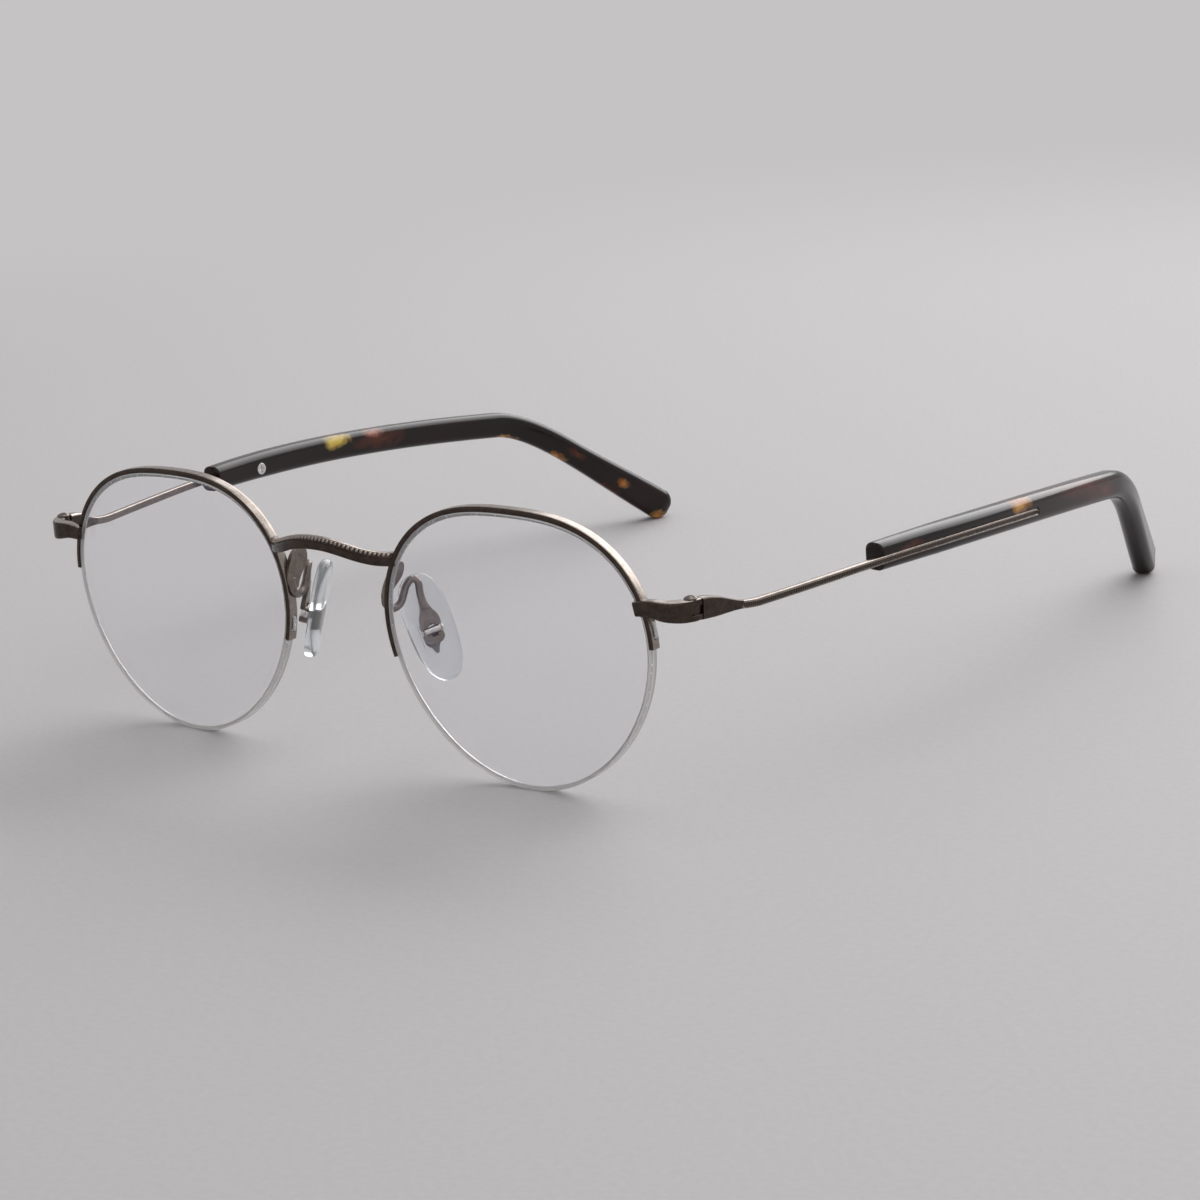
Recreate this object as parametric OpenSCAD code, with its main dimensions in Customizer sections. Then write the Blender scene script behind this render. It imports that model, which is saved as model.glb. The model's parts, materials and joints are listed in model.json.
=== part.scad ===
// Round half-rim eyeglasses: metal half rims, cord-held lenses, sprung nose pads and folding temples.
// All sizes are in millimetres. +X is the wearer's left, +Y runs back to the ears, +Z is up.

/* [Lenses] */
// Mean radius of the lens outline
lens_r = 22.45; // [20:0.05:25]
// Extra width of the lens over its height, as a radius term
lens_wide = 1.53; // [0:0.01:2.2]
// Slant of the widest line, up towards the temples
lens_slant = 0.15; // [0:0.01:0.4]
// How far the outline narrows towards its bottom
lens_pear = 0.875; // [0:0.005:1.3]
// Flattening of the sides and the brow line
lens_soft = 0.11; // [0:0.01:0.25]
// Thickness of the lens
lens_t = 1.9; // [1.7:0.1:2.6]
// Radius of the lens front surface
lens_curve_r = 260; // [180:10:500]
// Width of the groove round the lens edge
groove_w = 0.6; // [0.5:0.05:0.7]
// Depth of the groove round the lens edge
groove_d = 0.65; // [0.6:0.05:0.75]
// Gap between the lenses over the nose
lens_gap = 21.5; // [18:0.5:25]
// Angle by which each lens turns back at the temples
wrap = 2.3; // [0:0.1:5]

/* [Rims] */
// Thickness of the half rim, measured out from the lens
rim_t = 0.8; // [0.8:0.05:1.4]
// Depth of the half rim, front to back
rim_depth = 1.8; // [1.4:0.1:2.4]
// Angle at which the rim ends beside the temple, above the lens equator
rim_end_temple = 5.2; // [0:0.2:10]
// Angle at which the rim ends beside the nose, below the lens equator
rim_end_nose = 9.4; // [4:0.2:14]
// Width of the holes that hold the cord
cord_hole_d = 0.7; // [0.6:0.05:0.8]
// Spacing of the two cord holes at each rim end
cord_hole_gap = 2; // [1.6:0.1:2.6]
// Distance from a rim end to its first cord hole
cord_hole_inset = 1.6; // [1.2:0.1:2.2]

/* [Cord and liner] */
// Thickness of the nylon cord
cord_d = 0.5; // [0.4:0.02:0.55]
// Depth of the rim channel that holds the liner
channel_d = 0.4; // [0.3:0.05:0.5]
// How far the cord lies below the lens edge
cord_sink = 0.06; // [0.02:0.02:0.1]

/* [Bridge] */
// Height of the bridge strip
bridge_h = 2.1; // [1.8:0.05:3]
// Thickness of the bridge strip
bridge_t = 1.3; // [1:0.05:1.8]
// Height of the bridge crest over its seats
bridge_rise = 2.4; // [1:0.1:5]
// How far the bridge bows forward
bridge_bow = 4.3; // [1:0.1:6]
// Height of the bridge seats over the lens centres
bridge_seat_z = 11.1; // [9:0.1:13]
// Depth of the groove under the beaded line
bridge_groove = 0.18; // [0.1:0.02:0.3]

/* [Endpieces and hinges] */
// Height of the lug over the lens centres, where it meets the rim
lug_z = 8.15; // [6:0.05:10]
// Height of the lug at the rim
lug_h = 2.35; // [2:0.05:2.6]
// How far the lug laps over the front of the rim
lug_lap = 1; // [0.7:0.05:1.3]
// Reach from the lug's seat on the rim out to the hinge pin
hinge_out = 6.2; // [5:0.1:8]
// Distance from the rim front back to the hinge pin
hinge_back = 3.9; // [3.2:0.1:5]
// Height of the hinge centre over the lens centres
hinge_z = 8; // [7:0.05:8.6]
// Height of the hinge
hinge_h = 3.15; // [2.8:0.05:3.6]
// Radius of the hinge knuckles
knuckle_r = 1; // [0.9:0.02:1.1]
// Height of the middle knuckle
knuckle_h = 1.2; // [1:0.05:1.4]
// Radius of the hinge pin
pin_r = 0.6; // [0.5:0.02:0.65]
// Radius of the hinge screw head
screw_head_r = 1; // [0.9:0.02:1.1]
// Height of the hinge screw head
screw_head_h = 0.45; // [0.4:0.05:0.8]
// Running gap round the pin and beside the knuckles
run_gap = 0.04; // [0.03:0.01:0.06]
// Gap between the butting faces of lug and temple
butt_gap = 0.05; // [0.03:0.01:0.1]

/* [Nose pads] */
// Spacing of the two pad screws
pad_spread = 26.7; // [24:0.1:29]
// Distance from the rim front back to the pad screws
pad_back = 6.3; // [5.6:0.1:7.5]
// Height of the pad screws against the lens centres
pad_z = -1.3; // [-3:0.05:0]
// Angle of the pad face, opening towards the face
pad_splay = 31; // [24:1:38]
// Angle by which the pad face looks down
pad_tilt = 16.5; // [10:0.5:24]
// Turn of the pad in its own plane, top to the front
pad_turn = 11; // [0:1:14]
// Length of the pad
pad_len = 16.8; // [15.5:0.1:18]
// Width of the pad
pad_w = 7.2; // [6.5:0.1:8.5]
// Thickness of the pad
pad_t = 2; // [1.9:0.1:2.6]
// Diameter of the pad arm wire
arm_d = 1.2; // [1:0.05:1.4]
// Thickness of the pad arm blade
blade_t = 0.9; // [0.7:0.05:1.2]
// Width of the box that holds the pad
box_w = 2.8; // [2.5:0.1:3.2]
// Radius of the pad screw shank
pad_pin_r = 0.4; // [0.35:0.01:0.45]

/* [Temples] */
// Distance from the hinge back to the bend over the ear
temple_reach = 114; // [104:1:118]
// Greatest outward bow of the temple
temple_bow = 7.2; // [4:0.1:9]
// Fall of the temple from the hinge to the bend, over the drop of its root
temple_fall = 5.6; // [3:0.1:7]
// Drop of the bar just behind the hinge
root_drop = 1.85; // [1.2:0.05:2.2]
// Length of the root, over which the hinge thins down to the bar
root_len = 8.5; // [6:0.5:11]
// Height of the temple bar
bar_h = 1.2; // [1:0.05:1.4]
// Thickness of the temple bar
bar_t = 1; // [0.9:0.05:1.2]
// Depth of the line milled along the outer side of the bar
line_depth = 0.15; // [0.08:0.01:0.2]
// Width of the line milled along the bar
line_h = 0.34; // [0.2:0.02:0.5]
// Distance from the hinge to the front end of the temple tip
tip_front = 38; // [34:0.5:44]
// Length of the bar that lies in the slot of the tip
slot_len = 40.5; // [36:0.5:48]
// Width of the temple tip
tip_w = 3.9; // [3.6:0.1:4.4]
// Height of the temple tip
tip_h = 4.5; // [4:0.1:5.2]
// Clearance of the bar in its slot
slot_gap = 0.05; // [0.03:0.01:0.1]
// Distance from the front end of the tip to its screw
tip_screw_at = 11; // [8:0.5:16]
// Radius of the tip screw head
tip_screw_r = 1; // [0.8:0.05:1.1]
// Length of the bend over the ear
bend_len = 6.3; // [4:0.1:9]
// How far the ear end runs back behind the bend
tail_back = 24.3; // [18:0.1:30]
// How far the ear end turns in
tail_in = 11.2; // [6:0.1:15]
// Height of the ear end at its widest
tail_h = 5.7; // [4.8:0.1:6.5]

/* [Inner sizes] */
// Width of the faces that meet at the hinge
hinge_w = 2.1; // [1.9:0.05:2.3]
// How far the middle of the tip lies above the bar
tip_lift = 0.35; // [0.1:0.05:0.6]
// Length of the rounded end of the tip
tip_cap = 2.9; // [2:0.1:3.5]
// Thread radius of the tip screw
tip_thread_r = 0.45; // [0.4:0.01:0.5]
// Width of the hard core in the pad
core_w = 2.5; // [2.2:0.1:2.8]
// Thickness of the core plate
core_t = 0.6; // [0.5:0.05:0.7]
// Width of the tab that the pad screw goes through
tab_w = 1.1; // [1:0.05:1.3]
// Height of the pad box above its screw
box_top = 0.9; // [0.8:0.05:1.1]
// Depth of the pad box below its screw
box_low = 2; // [1.7:0.05:2.2]
// Gap between the pad and its box that lets the pad rock
rock_gap = 0.35; // [0.3:0.05:0.45]
// Distance from the screw of the pad to the back of the pad
pad_back_n = 0.65; // [0.6:0.05:0.75]

/* [Stance] */
// Angle by which the front leans when the glasses stand on a table
stand_lean = 0.8; // [0:0.1:2]

/* [Hidden] */

// Angle step of the outlines that follow the lens
ang_step = 3;
// Small clearance between pieces that are seated on each other
seat_gap = 0.03;

// General functions

function unit(v) = v / norm(v);
function clamp01(t) = min(1, max(0, t));
function smooth01(t) = let(c = clamp01(t)) c * c * (3 - 2 * c);
function wrapped(p, a) = [p[0] * cos(a) - p[1] * sin(a), p[0] * sin(a) + p[1] * cos(a), p[2]];

// Point on a smooth curve through four neighbours, for t from 0 to 1 between the middle two
function spline(a, b, c, d, t) =
    0.5 * (2 * b + (c - a) * t + (2 * a - 5 * b + 4 * c - d) * t * t + (3 * b - a - 3 * c + d) * t * t * t);

// Smooth curve through a list of stations, with n steps between neighbours
function curve(p, n) = let(last = len(p) - 1)
    [for (i = [0:last - 1], j = [0:n - 1])
        spline(p[max(i - 1, 0)], p[i], p[i + 1], p[min(i + 2, last)], j / n), p[last]];

function place(s) = [s[0], s[1], s[2]];
function heading(p, i) = unit(place(p[min(i + 1, len(p) - 1)]) - place(p[max(i - 1, 0)]));

// Rounded rectangle section with n steps in each corner, listed against the clock
function soft_box(w, h, r, n) =
    [for (q = [0:3], j = [0:n])
        let(sx = (q == 0 || q == 3) ? 1 : -1, sy = q < 2 ? 1 : -1, a = 90 * q + 90 * j / n)
        [sx * (w / 2 - r) + r * cos(a), sy * (h / 2 - r) + r * sin(a)]];

function round_section(d, n) = [for (j = [0:n - 1]) [d / 2 * cos(360 * j / n), d / 2 * sin(360 * j / n)]];

// Section points of one station, set square to the path with the given upward direction
function ring(p, i, section, up) =
    let(t = heading(p, i), v = unit(up - (up * t) * t), l = cross(t, v))
    [for (q = section) place(p[i]) + l * q[0] + v * q[1]];

// Closed skin over a list of rings that all have as many points
module skin(rings) {
    n = len(rings[0]);
    last = len(rings) - 1;
    points = [for (r = rings, q = r) q];
    sides = [for (i = [0:last - 1], j = [0:n - 1], k = [0:1])
        let(a = i * n + j, b = i * n + (j + 1) % n)
        k == 0 ? [a, b, b + n] : [a, b + n, a + n]];
    start = [for (j = [n - 1:-1:0]) j];
    end = [for (j = [0:n - 1]) last * n + j];
    polyhedron(points, concat([start], sides, [end]), convexity = 6);
}

module rod(a, b, r) {
    d = b - a;
    translate(a)
        rotate([0, acos(d[2] / norm(d)), atan2(d[1], d[0])])
            cylinder(h = norm(d), r = r, $fn = 32);
}

// Lens outline, with u towards the temple and v upwards

function lens_rad(t) = lens_r + lens_wide * cos(2 * t) - lens_slant * sin(2 * t)
    + lens_pear * sin(3 * t) - lens_soft * cos(4 * t);

function lens_rate(t) = -2 * lens_wide * sin(2 * t) - 2 * lens_slant * cos(2 * t)
    + 3 * lens_pear * cos(3 * t) + 4 * lens_soft * sin(4 * t);

function lens_normal(t) = let(r = lens_rad(t), d = lens_rate(t))
    unit([d * sin(t) + r * cos(t), -d * cos(t) + r * sin(t)]);

// Outline point at angle t, moved out by off
function edge(t, off) = lens_rad(t) * [cos(t), sin(t)] + off * lens_normal(t);

lens_nasal = max([for (t = [150:1:210]) -edge(t, 0)[0]]);
lens_low = min([for (t = [240:1:300]) edge(t, 0)[1]]);
lens_cx = lens_gap / 2 + lens_nasal * cos(wrap);
groove_y = lens_t / 2;
rim_front = groove_y - rim_depth / 2;

// Point beside the left lens in the frame of the front
function beside_lens(t, off, y) =
    let(e = edge(t, off)) [lens_cx, 0, 0] + wrapped([e[0], y, e[1]], wrap);

module at_lens() {
    translate([lens_cx, 0, 0]) rotate([0, 0, wrap]) children();
}

// Slab of a flat outline between two depths behind the front
module slab(y0, y1) {
    translate([0, y1, 0]) rotate([90, 0, 0]) linear_extrude(y1 - y0) children();
}

module outline(off) {
    polygon([for (t = [0:ang_step:360 - ang_step]) edge(t, off)]);
}

// Band beside the outline from angle a0 to a1, between the offsets d0 and d1
module band(a0, a1, d0, d1) {
    steps = ceil((a1 - a0) / ang_step);
    angles = [for (i = [0:steps]) a0 + (a1 - a0) * i / steps];
    polygon(concat(
        [for (t = angles) edge(t, d1)],
        [for (i = [steps:-1:0]) edge(angles[i], d0)]));
}

// Angles of the rim ends and of the cord holes, turned into steps along the outline
rim_a0 = rim_end_temple;
rim_a1 = 180 + rim_end_nose;
function along(a, d) = a + d / lens_rad(a) * 180 / PI;
hole_t1 = along(rim_a0, cord_hole_inset);
hole_t2 = along(hole_t1, cord_hole_gap);
hole_n1 = along(rim_a1, -cord_hole_inset);
hole_n2 = along(hole_n1, -cord_hole_gap);
rim_inner = seat_gap;
rim_outer = rim_inner + rim_t;
liner_in = groove_d - 2 * seat_gap;

// Lenses

module lens() {
    yc = sqrt(pow(lens_curve_r, 2) - pow(lens_r, 2));
    color([0.86, 0.89, 0.93, 0.35]) at_lens() difference() {
        intersection() {
            slab(-4, lens_t + 2) outline(0);
            difference() {
                translate([0, yc, 0]) sphere(r = lens_curve_r, $fn = 360);
                translate([0, yc, 0]) sphere(r = lens_curve_r - lens_t, $fn = 360);
            }
        }
        slab(groove_y - groove_w / 2, groove_y + groove_w / 2) difference() {
            outline(1);
            outline(-groove_d);
        }
    }
}

// Half rims, their liners and the lens cords

module hole_rod(t, r, d0, d1) {
    e0 = edge(t, d0);
    e1 = edge(t, d1);
    rod([e0[0], groove_y, e0[1]], [e1[0], groove_y, e1[1]], r);
}

module rim() {
    color([0.30, 0.26, 0.24]) at_lens() difference() {
        slab(rim_front, rim_front + rim_depth) band(rim_a0, rim_a1, rim_inner, rim_outer);
        slab(groove_y - groove_w / 2, groove_y + groove_w / 2)
            band(rim_a0 - 2, rim_a1 + 2, -1, rim_inner + channel_d);
        for (t = [hole_t1, hole_t2, hole_n1, hole_n2])
            hole_rod(t, cord_hole_d / 2, -0.5, rim_outer + 1);
    }
}

module rim_liner() {
    w = groove_w - 2 * seat_gap;
    gap = cord_d / 2 + 0.6;
    color([0.85, 0.85, 0.82, 0.8]) at_lens()
        slab(groove_y - w / 2, groove_y + w / 2)
            band(along(hole_t2, gap), along(hole_n2, -gap), -liner_in, rim_inner + channel_d - seat_gap);
}

// The cord lies in the groove under the lens, leaves through the hole by each rim end,
// runs over the rim and goes back in through the next hole.
module lens_cord() {
    r = cord_d / 2;
    over = rim_outer + r;
    color([0.93, 0.93, 0.9, 0.8]) at_lens() {
        slab(groove_y - r, groove_y + r) band(hole_n1, 360 + hole_t1, -cord_sink - cord_d, -cord_sink);
        for (h = [[hole_t1, hole_t2], [hole_n1, hole_n2]]) {
            a = edge(h[0], over);
            b = edge(h[1], over);
            hole_rod(h[0], r, -cord_sink - r, over + r);
            hole_rod(h[1], r, rim_inner, over + r);
            rod([a[0], groove_y, a[1]], [b[0], groove_y, b[1]], 0.98 * r);
        }
    }
}

// Space taken by a rim, for pieces that are brazed against it
module rim_space() {
    at_lens() slab(rim_front - seat_gap, rim_front + rim_depth + seat_gap)
        outline(rim_outer + seat_gap);
}

// Bridge

seat_t = max([for (t = [130:1:179]) edge(t, rim_outer)[1] >= bridge_seat_z ? t : 0]);
bridge_end = beside_lens(seat_t, rim_outer, groove_y);
bridge_half = bridge_end[0] + 0.4;

// Station of the bridge at s, from -1 at the right rim to 1 at the left rim
function bridge_at(s) = let(a = abs(s))
    [s * bridge_half,
     bridge_end[1] - bridge_bow * (1 - pow(a, 2.6)),
     bridge_seat_z + bridge_rise * (1 + cos(180 * pow(a, 1.2))) / 2];

// Strip section with a groove under the beaded line on its front
function bridge_section() =
    let(a = bridge_t / 2, b = bridge_h / 2, c = 0.25, g = 0.25)
    [[a - c, -b], [a, c - b], [a, g - 0.1], [a - bridge_groove, g], [a, g + 0.1], [a, b - c], [a - c, b],
     [c - a, b], [-a, b - c], [-a, c - b], [c - a, -b]];

bridge_steps = 40;
bridge_path = [for (i = [0:bridge_steps]) bridge_at(2 * i / bridge_steps - 1)];
bridge_rings = [for (i = [0:bridge_steps]) ring(bridge_path, i, bridge_section(), [0, 0, 1])];

module bridge() {
    color([0.32, 0.28, 0.25]) difference() {
        skin(bridge_rings);
        rim_space();
        mirror([1, 0, 0]) rim_space();
    }
}

// Endpieces and hinges

lug_t = min([for (t = [5:0.5:60]) edge(t, rim_outer)[1] >= lug_z ? t : 90]);
lug_seat = beside_lens(lug_t, rim_outer, rim_front);
hinge_x = lug_seat[0] + hinge_out;
hinge_y = hinge_back;
hinge_top = hinge_z + hinge_h / 2;
hinge_low = hinge_z - hinge_h / 2;
butt_y = hinge_y + knuckle_r + run_gap;
lug_inner = beside_lens(lug_t, -0.5, rim_front - lug_lap / 2 + 0.1);

// Centre, width and height of the lug from its seat on the rim to the butting face
lug_stations = [
    [lug_inner[0], lug_inner[1], lug_z, lug_lap, lug_h - 0.15],
    [lug_seat[0] - 0.3, lug_seat[1] - lug_lap / 2 + 0.15, lug_z + 0.15, lug_lap + 0.1, lug_h],
    [lug_seat[0] + 1.6, lug_seat[1] - 0.1, lug_z + 0.3, lug_lap + 0.7, lug_h + 0.2],
    [hinge_x - 2.3, hinge_y - 2.75, hinge_z + 0.2, hinge_w - 0.1, hinge_h - 0.25],
    [hinge_x - 0.7, hinge_y - 1.55, hinge_z + 0.05, hinge_w, hinge_h],
    [hinge_x + 0.1, hinge_y - 0.1, hinge_z, hinge_w, hinge_h],
    [hinge_x + 0.3, butt_y, hinge_z, hinge_w, hinge_h]
];
lug_path = curve(lug_stations, 4);
lug_rings = [for (i = [0:len(lug_path) - 1])
    let(s = lug_path[i]) ring(lug_path, i, soft_box(s[3], s[4], 0.35, 2), [0, 0, 1])];

module knuckle(z0, z1, r) {
    translate([hinge_x, hinge_y, z0]) cylinder(h = z1 - z0, r = r, $fn = 64);
}

// Wedge round the hinge axis that the butting face of the temple sweeps as it folds
module fold_wedge(r) {
    reach = 2 * r;
    intersection() {
        knuckle(hinge_low - 1, hinge_top + 1, r);
        translate([hinge_x - reach, hinge_y - 0.9, hinge_low - 1]) cube([reach - 0.1, 3 * reach, hinge_h + 2]);
    }
}

mid_low = hinge_z - knuckle_h / 2;
mid_top = hinge_z + knuckle_h / 2;

module endpiece() {
    color([0.33, 0.28, 0.25]) difference() {
        union() {
            difference() {
                skin(lug_rings);
                fold_wedge(knuckle_r + 0.75);
                translate([hinge_x - 5, butt_y, hinge_low - 1]) cube([10, 3, hinge_h + 2]);
            }
            knuckle(hinge_low, mid_low - run_gap, knuckle_r);
            knuckle(mid_top + run_gap, hinge_top, knuckle_r);
        }
        knuckle(mid_low - run_gap, mid_top + run_gap, knuckle_r + 0.3);
        translate([hinge_x - 3, hinge_y, mid_low - run_gap])
            cube([8, 4, knuckle_h + 2 * run_gap]);
        knuckle(hinge_low - 1, hinge_top + 1, pin_r + run_gap);
        rim_space();
    }
}

module hinge_screw() {
    slot_w = 0.25;
    color([0.45, 0.41, 0.38]) difference() {
        union() {
            knuckle(hinge_low + 0.1, hinge_top + seat_gap + 0.1, pin_r);
            intersection() {
                knuckle(hinge_top + seat_gap, hinge_top + seat_gap + screw_head_h, screw_head_r);
                translate([hinge_x, hinge_y, hinge_top + screw_head_h - 1.5]) sphere(r = 1.55, $fn = 64);
            }
        }
        translate([hinge_x - 2, hinge_y - slot_w / 2, hinge_top + screw_head_h - 0.22]) cube([4, slot_w, 1]);
    }
}

// Temple bars

// Centre of the bar at a distance b behind the hinge
function bar_out(b) = temple_bow * sin(90 * b / (0.54 * temple_reach));
function bar_drop(b) = root_drop * smooth01(b / 13) + temple_fall * pow(max(0, (b - 30) / (temple_reach - 40)), 1.8);
function bar_centre(b) = [hinge_x + 0.25 + bar_out(b) - 0.25 * clamp01(b / 6), hinge_y + b, hinge_z - bar_drop(b)];

root_b = butt_y - hinge_y + butt_gap;
bar_end = tip_front + slot_len;
function root_share(b) = smooth01((b - root_b) / root_len);
function bar_station(b) = let(s = root_share(b), c = bar_centre(b))
    [c[0], c[1], c[2], hinge_w + (bar_t - hinge_w) * s, hinge_h + (bar_h - hinge_h) * s];

bar_bs = concat(
    [root_b - 0.4],
    [for (i = [0:8]) root_b + root_len * i / 8],
    [for (i = [1:22]) root_b + root_len + (bar_end - root_b - root_len) * i / 22]);
bar_path = [for (b = bar_bs) bar_station(b)];
function bar_ring(i) = let(s = bar_path[i], w = s[3], h = s[4], g = line_depth * root_share(bar_bs[i]) + 0.01)
    ring(bar_path, i, concat(soft_box(w, h, min(w, h) * 0.22, 2),
        [[w / 2, -line_h / 2], [w / 2 - g, 0], [w / 2, line_h / 2]]), [0, 0, 1]);

// Section of the slot that the bar lies in, open towards the outer side
function slot_section() = let(a = bar_t / 2 + slot_gap, h = bar_h / 2 + slot_gap)
    [[a + 1, -h], [a + 1, h], [-a, h], [-a, -h]];

module temple_bar() {
    rings = [for (i = [0:len(bar_path) - 1]) bar_ring(i)];
    color([0.50, 0.44, 0.39]) difference() {
        union() {
            difference() {
                skin(rings);
                translate([hinge_x - 5, butt_y + butt_gap - 5, hinge_low - 1]) cube([10, 5, hinge_h + 2]);
            }
            knuckle(mid_low, mid_top, knuckle_r);
            translate([hinge_x - 0.8, hinge_y, mid_low]) cube([1.8, root_b + 0.6, knuckle_h]);
        }
        knuckle(hinge_low - 1, hinge_top + 1, pin_r + run_gap);
        tip_screw_bore(tip_thread_r + seat_gap / 2, 0.7);
    }
}

// Temple tips

// The tip lies on the inner side of the bar, and its ear end turns down and in behind the bend
tip_off = tip_w / 2 - bar_t / 2 - slot_gap;

function tip_station(b) = let(c = bar_centre(b)) [c[0] - tip_off, c[1], c[2] + tip_lift];
bend_a = tip_station(temple_reach - bend_len);
bend_dir = unit(bend_a - tip_station(temple_reach - bend_len - 1));
bend_c = bend_a + bend_dir * bend_len;

// Stations along the tip for a given drop of its ear end, as place, width and height
function tip_stations(drop) =
    let(e = bend_c + [-tail_in, tail_back, -drop], t = unit(e - bend_c), d = bend_c + t * 1.8 * bend_len)
    concat(
        [for (i = [0:15]) let(f = 0.94 + 0.06 * clamp01(i / 3))
            concat(tip_station(tip_front + (temple_reach - bend_len - tip_front) * i / 15), [tip_w * f, tip_h * f])],
        [for (i = [1:8]) let(k = i / 8)
            concat(pow(1 - k, 2) * bend_a + 2 * k * (1 - k) * bend_c + k * k * d, [tip_w, tip_h])],
        [for (i = [1:5]) concat(d + (e - d) * i / 5, [tip_w, tip_h + (tail_h - tip_h) * smooth01(i / 5)])],
        [for (q = [0.3, 0.55, 0.75, 0.9, 0.98, 1]) let(f = sqrt(1.05 - q * q))
            concat(e + t * q * tip_cap, [tip_w * f, tail_h * f])]);

function tip_skin(drop) = let(p = tip_stations(drop)) [for (i = [0:len(p) - 1]) let(s = p[i])
    ring(p, i, soft_box(s[3], s[4], min(s[3], s[4]) * 0.36, 3), [0, 0, 1])];

// Drop of the ear end that brings it down to the table the lenses stand on
function lowest(rings) = min([for (r = rings, p = r) stood(p)[2]]);
low_z = stood([0, 0, lens_low])[2];
drop_0 = 22;
drop_1 = drop_0 + lowest(tip_skin(drop_0)) - low_z;
tail_drop = drop_1 + lowest(tip_skin(drop_1)) - low_z;
tip_rings = tip_skin(tail_drop);

tip_screw_b = tip_front + tip_screw_at;

// Bore of the tip screw, from the inner face of the tip towards the bar
module tip_screw_bore(r, depth) {
    c = bar_centre(tip_screw_b);
    translate([c[0] - bar_t / 2 + depth, c[1], c[2]])
        rotate([0, -90, 0]) cylinder(h = tip_w + 2, r = r, $fn = 32);
}

module tip_screw_seat(r) {
    c = tip_station(tip_screw_b);
    translate([c[0] - tip_w / 2 + 0.6, c[1], bar_centre(tip_screw_b)[2]])
        rotate([0, -90, 0]) cylinder(h = 3, r = r, $fn = 48);
}

module temple_tip() {
    slot_rings = [for (i = [0:len(bar_path) - 1]) if (bar_bs[i] > tip_front - 8)
        ring(bar_path, i, slot_section(), [0, 0, 1])];
    color([0.20, 0.10, 0.06]) difference() {
        skin(tip_rings);
        skin(slot_rings);
        tip_screw_bore(tip_thread_r + seat_gap, 0.2);
        tip_screw_seat(tip_screw_r + seat_gap);
    }
}

module tip_screw() {
    c = tip_station(tip_screw_b);
    z = bar_centre(tip_screw_b)[2];
    face = c[0] - tip_w / 2;
    color([0.75, 0.73, 0.70]) difference() {
        union() {
            translate([face + 0.6 - seat_gap, c[1], z]) rotate([0, -90, 0])
                cylinder(h = 0.6, r = tip_screw_r, $fn = 48);
            intersection() {
                tip_screw_bore(tip_thread_r, 0.6);
                translate([face + 0.5, c[1] - 2, z - 2]) cube([tip_w, 4, 4]);
            }
        }
        for (a = [0, 90]) translate([face - 0.3, c[1], z]) rotate([a, 0, 0])
            translate([0, -0.6, -0.12]) cube([0.6, 1.2, 0.24]);
    }
}

// Nose pads

pad_c = [pad_spread / 2, pad_back, pad_z];
pad_level = [-sin(pad_splay), -cos(pad_splay), 0];
pad_face = [-cos(pad_tilt) * cos(pad_splay), cos(pad_tilt) * sin(pad_splay), -sin(pad_tilt)];
pad_rise = cross(pad_face, pad_level);
pad_side = pad_level * cos(pad_turn) - pad_rise * sin(pad_turn);
pad_long = pad_rise * cos(pad_turn) + pad_level * sin(pad_turn);

// Point in the pad's own frame: s forward across the pad, t up the pad, n out of its bearing face
function at_pad(s, t, n) = pad_c + pad_side * s + pad_long * t + pad_face * n;

module pad_frame() {
    multmatrix([
        [pad_side[0], pad_long[0], pad_face[0], pad_c[0]],
        [pad_side[1], pad_long[1], pad_face[1], pad_c[1]],
        [pad_side[2], pad_long[2], pad_face[2], pad_c[2]]
    ]) children();
}

// Pad outline point at angle a, drawn in by d
function pad_edge(a, d) =
    let(h = pad_len / 2 - d, w = pad_w / 2 - d, c = cos(a), k = sin(a), e = 2 / 2.6,
        t = h * sign(k) * pow(abs(k), e), s = w * sign(c) * pow(abs(c), e) * (1 + 0.07 * t / h))
    [s, t] + pad_shift;

pad_shift = [-0.45, 0.4];
pad_n = 28;
pad_levels = [[0.5, 0], [0.12, 0.3], [0, 0.7], [0, pad_t - 0.8], [0.25, pad_t - 0.35], [0.75, pad_t - 0.08],
    [1.5, pad_t]];
pad_rings = [for (l = pad_levels)
    [for (j = [0:pad_n - 1]) let(q = pad_edge(360 * j / pad_n, l[0])) at_pad(q[0], q[1], pad_back_n + l[1])]];

// Hard core of the pad: a plate inside the pad and a tab that the pad screw goes through
core_h = 2.6;
core_n = 1.35;
core_low = -1.4;
core_tail = 0.9;
box_cut = 0.6;

module core_plate(g) {
    w = core_w / 2 + g;
    low = core_low - core_w / 2 - core_tail - g;
    translate([0, 0, core_n - g]) linear_extrude(core_t + 2 * g) {
        translate([-w, core_low]) square([2 * w, core_h + g]);
        translate([0, core_low]) circle(r = w, $fn = 48);
        polygon([[-w * 0.6, core_low - w * 0.6], [-0.2 - g, low], [0.2 + g, low], [w * 0.6, core_low - w * 0.6]]);
    }
}

module nose_pad() {
    pocket_w = box_w + 2 * rock_gap;
    pocket_h = box_top + box_low + 2 * rock_gap;
    color([0.92, 0.94, 0.96, 0.5]) difference() {
        skin(pad_rings);
        pad_frame() {
            core_plate(seat_gap);
            translate([-pocket_w / 2, -box_low - rock_gap, -1]) cube([pocket_w, pocket_h, core_n - seat_gap + 1]);
        }
    }
}

module pad_core() {
    color([0.25, 0.27, 0.29]) pad_frame() difference() {
        union() {
            core_plate(0);
            translate([-tab_w / 2, -0.75, 0]) cube([tab_w, 1.5, core_n + 0.1]);
            translate([-tab_w / 2, 0, 0]) rotate([0, 90, 0]) cylinder(h = tab_w, r = 0.75, $fn = 48);
        }
        translate([-2, 0, 0]) rotate([0, 90, 0]) cylinder(h = 4, r = pad_pin_r + run_gap, $fn = 32);
    }
}

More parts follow.
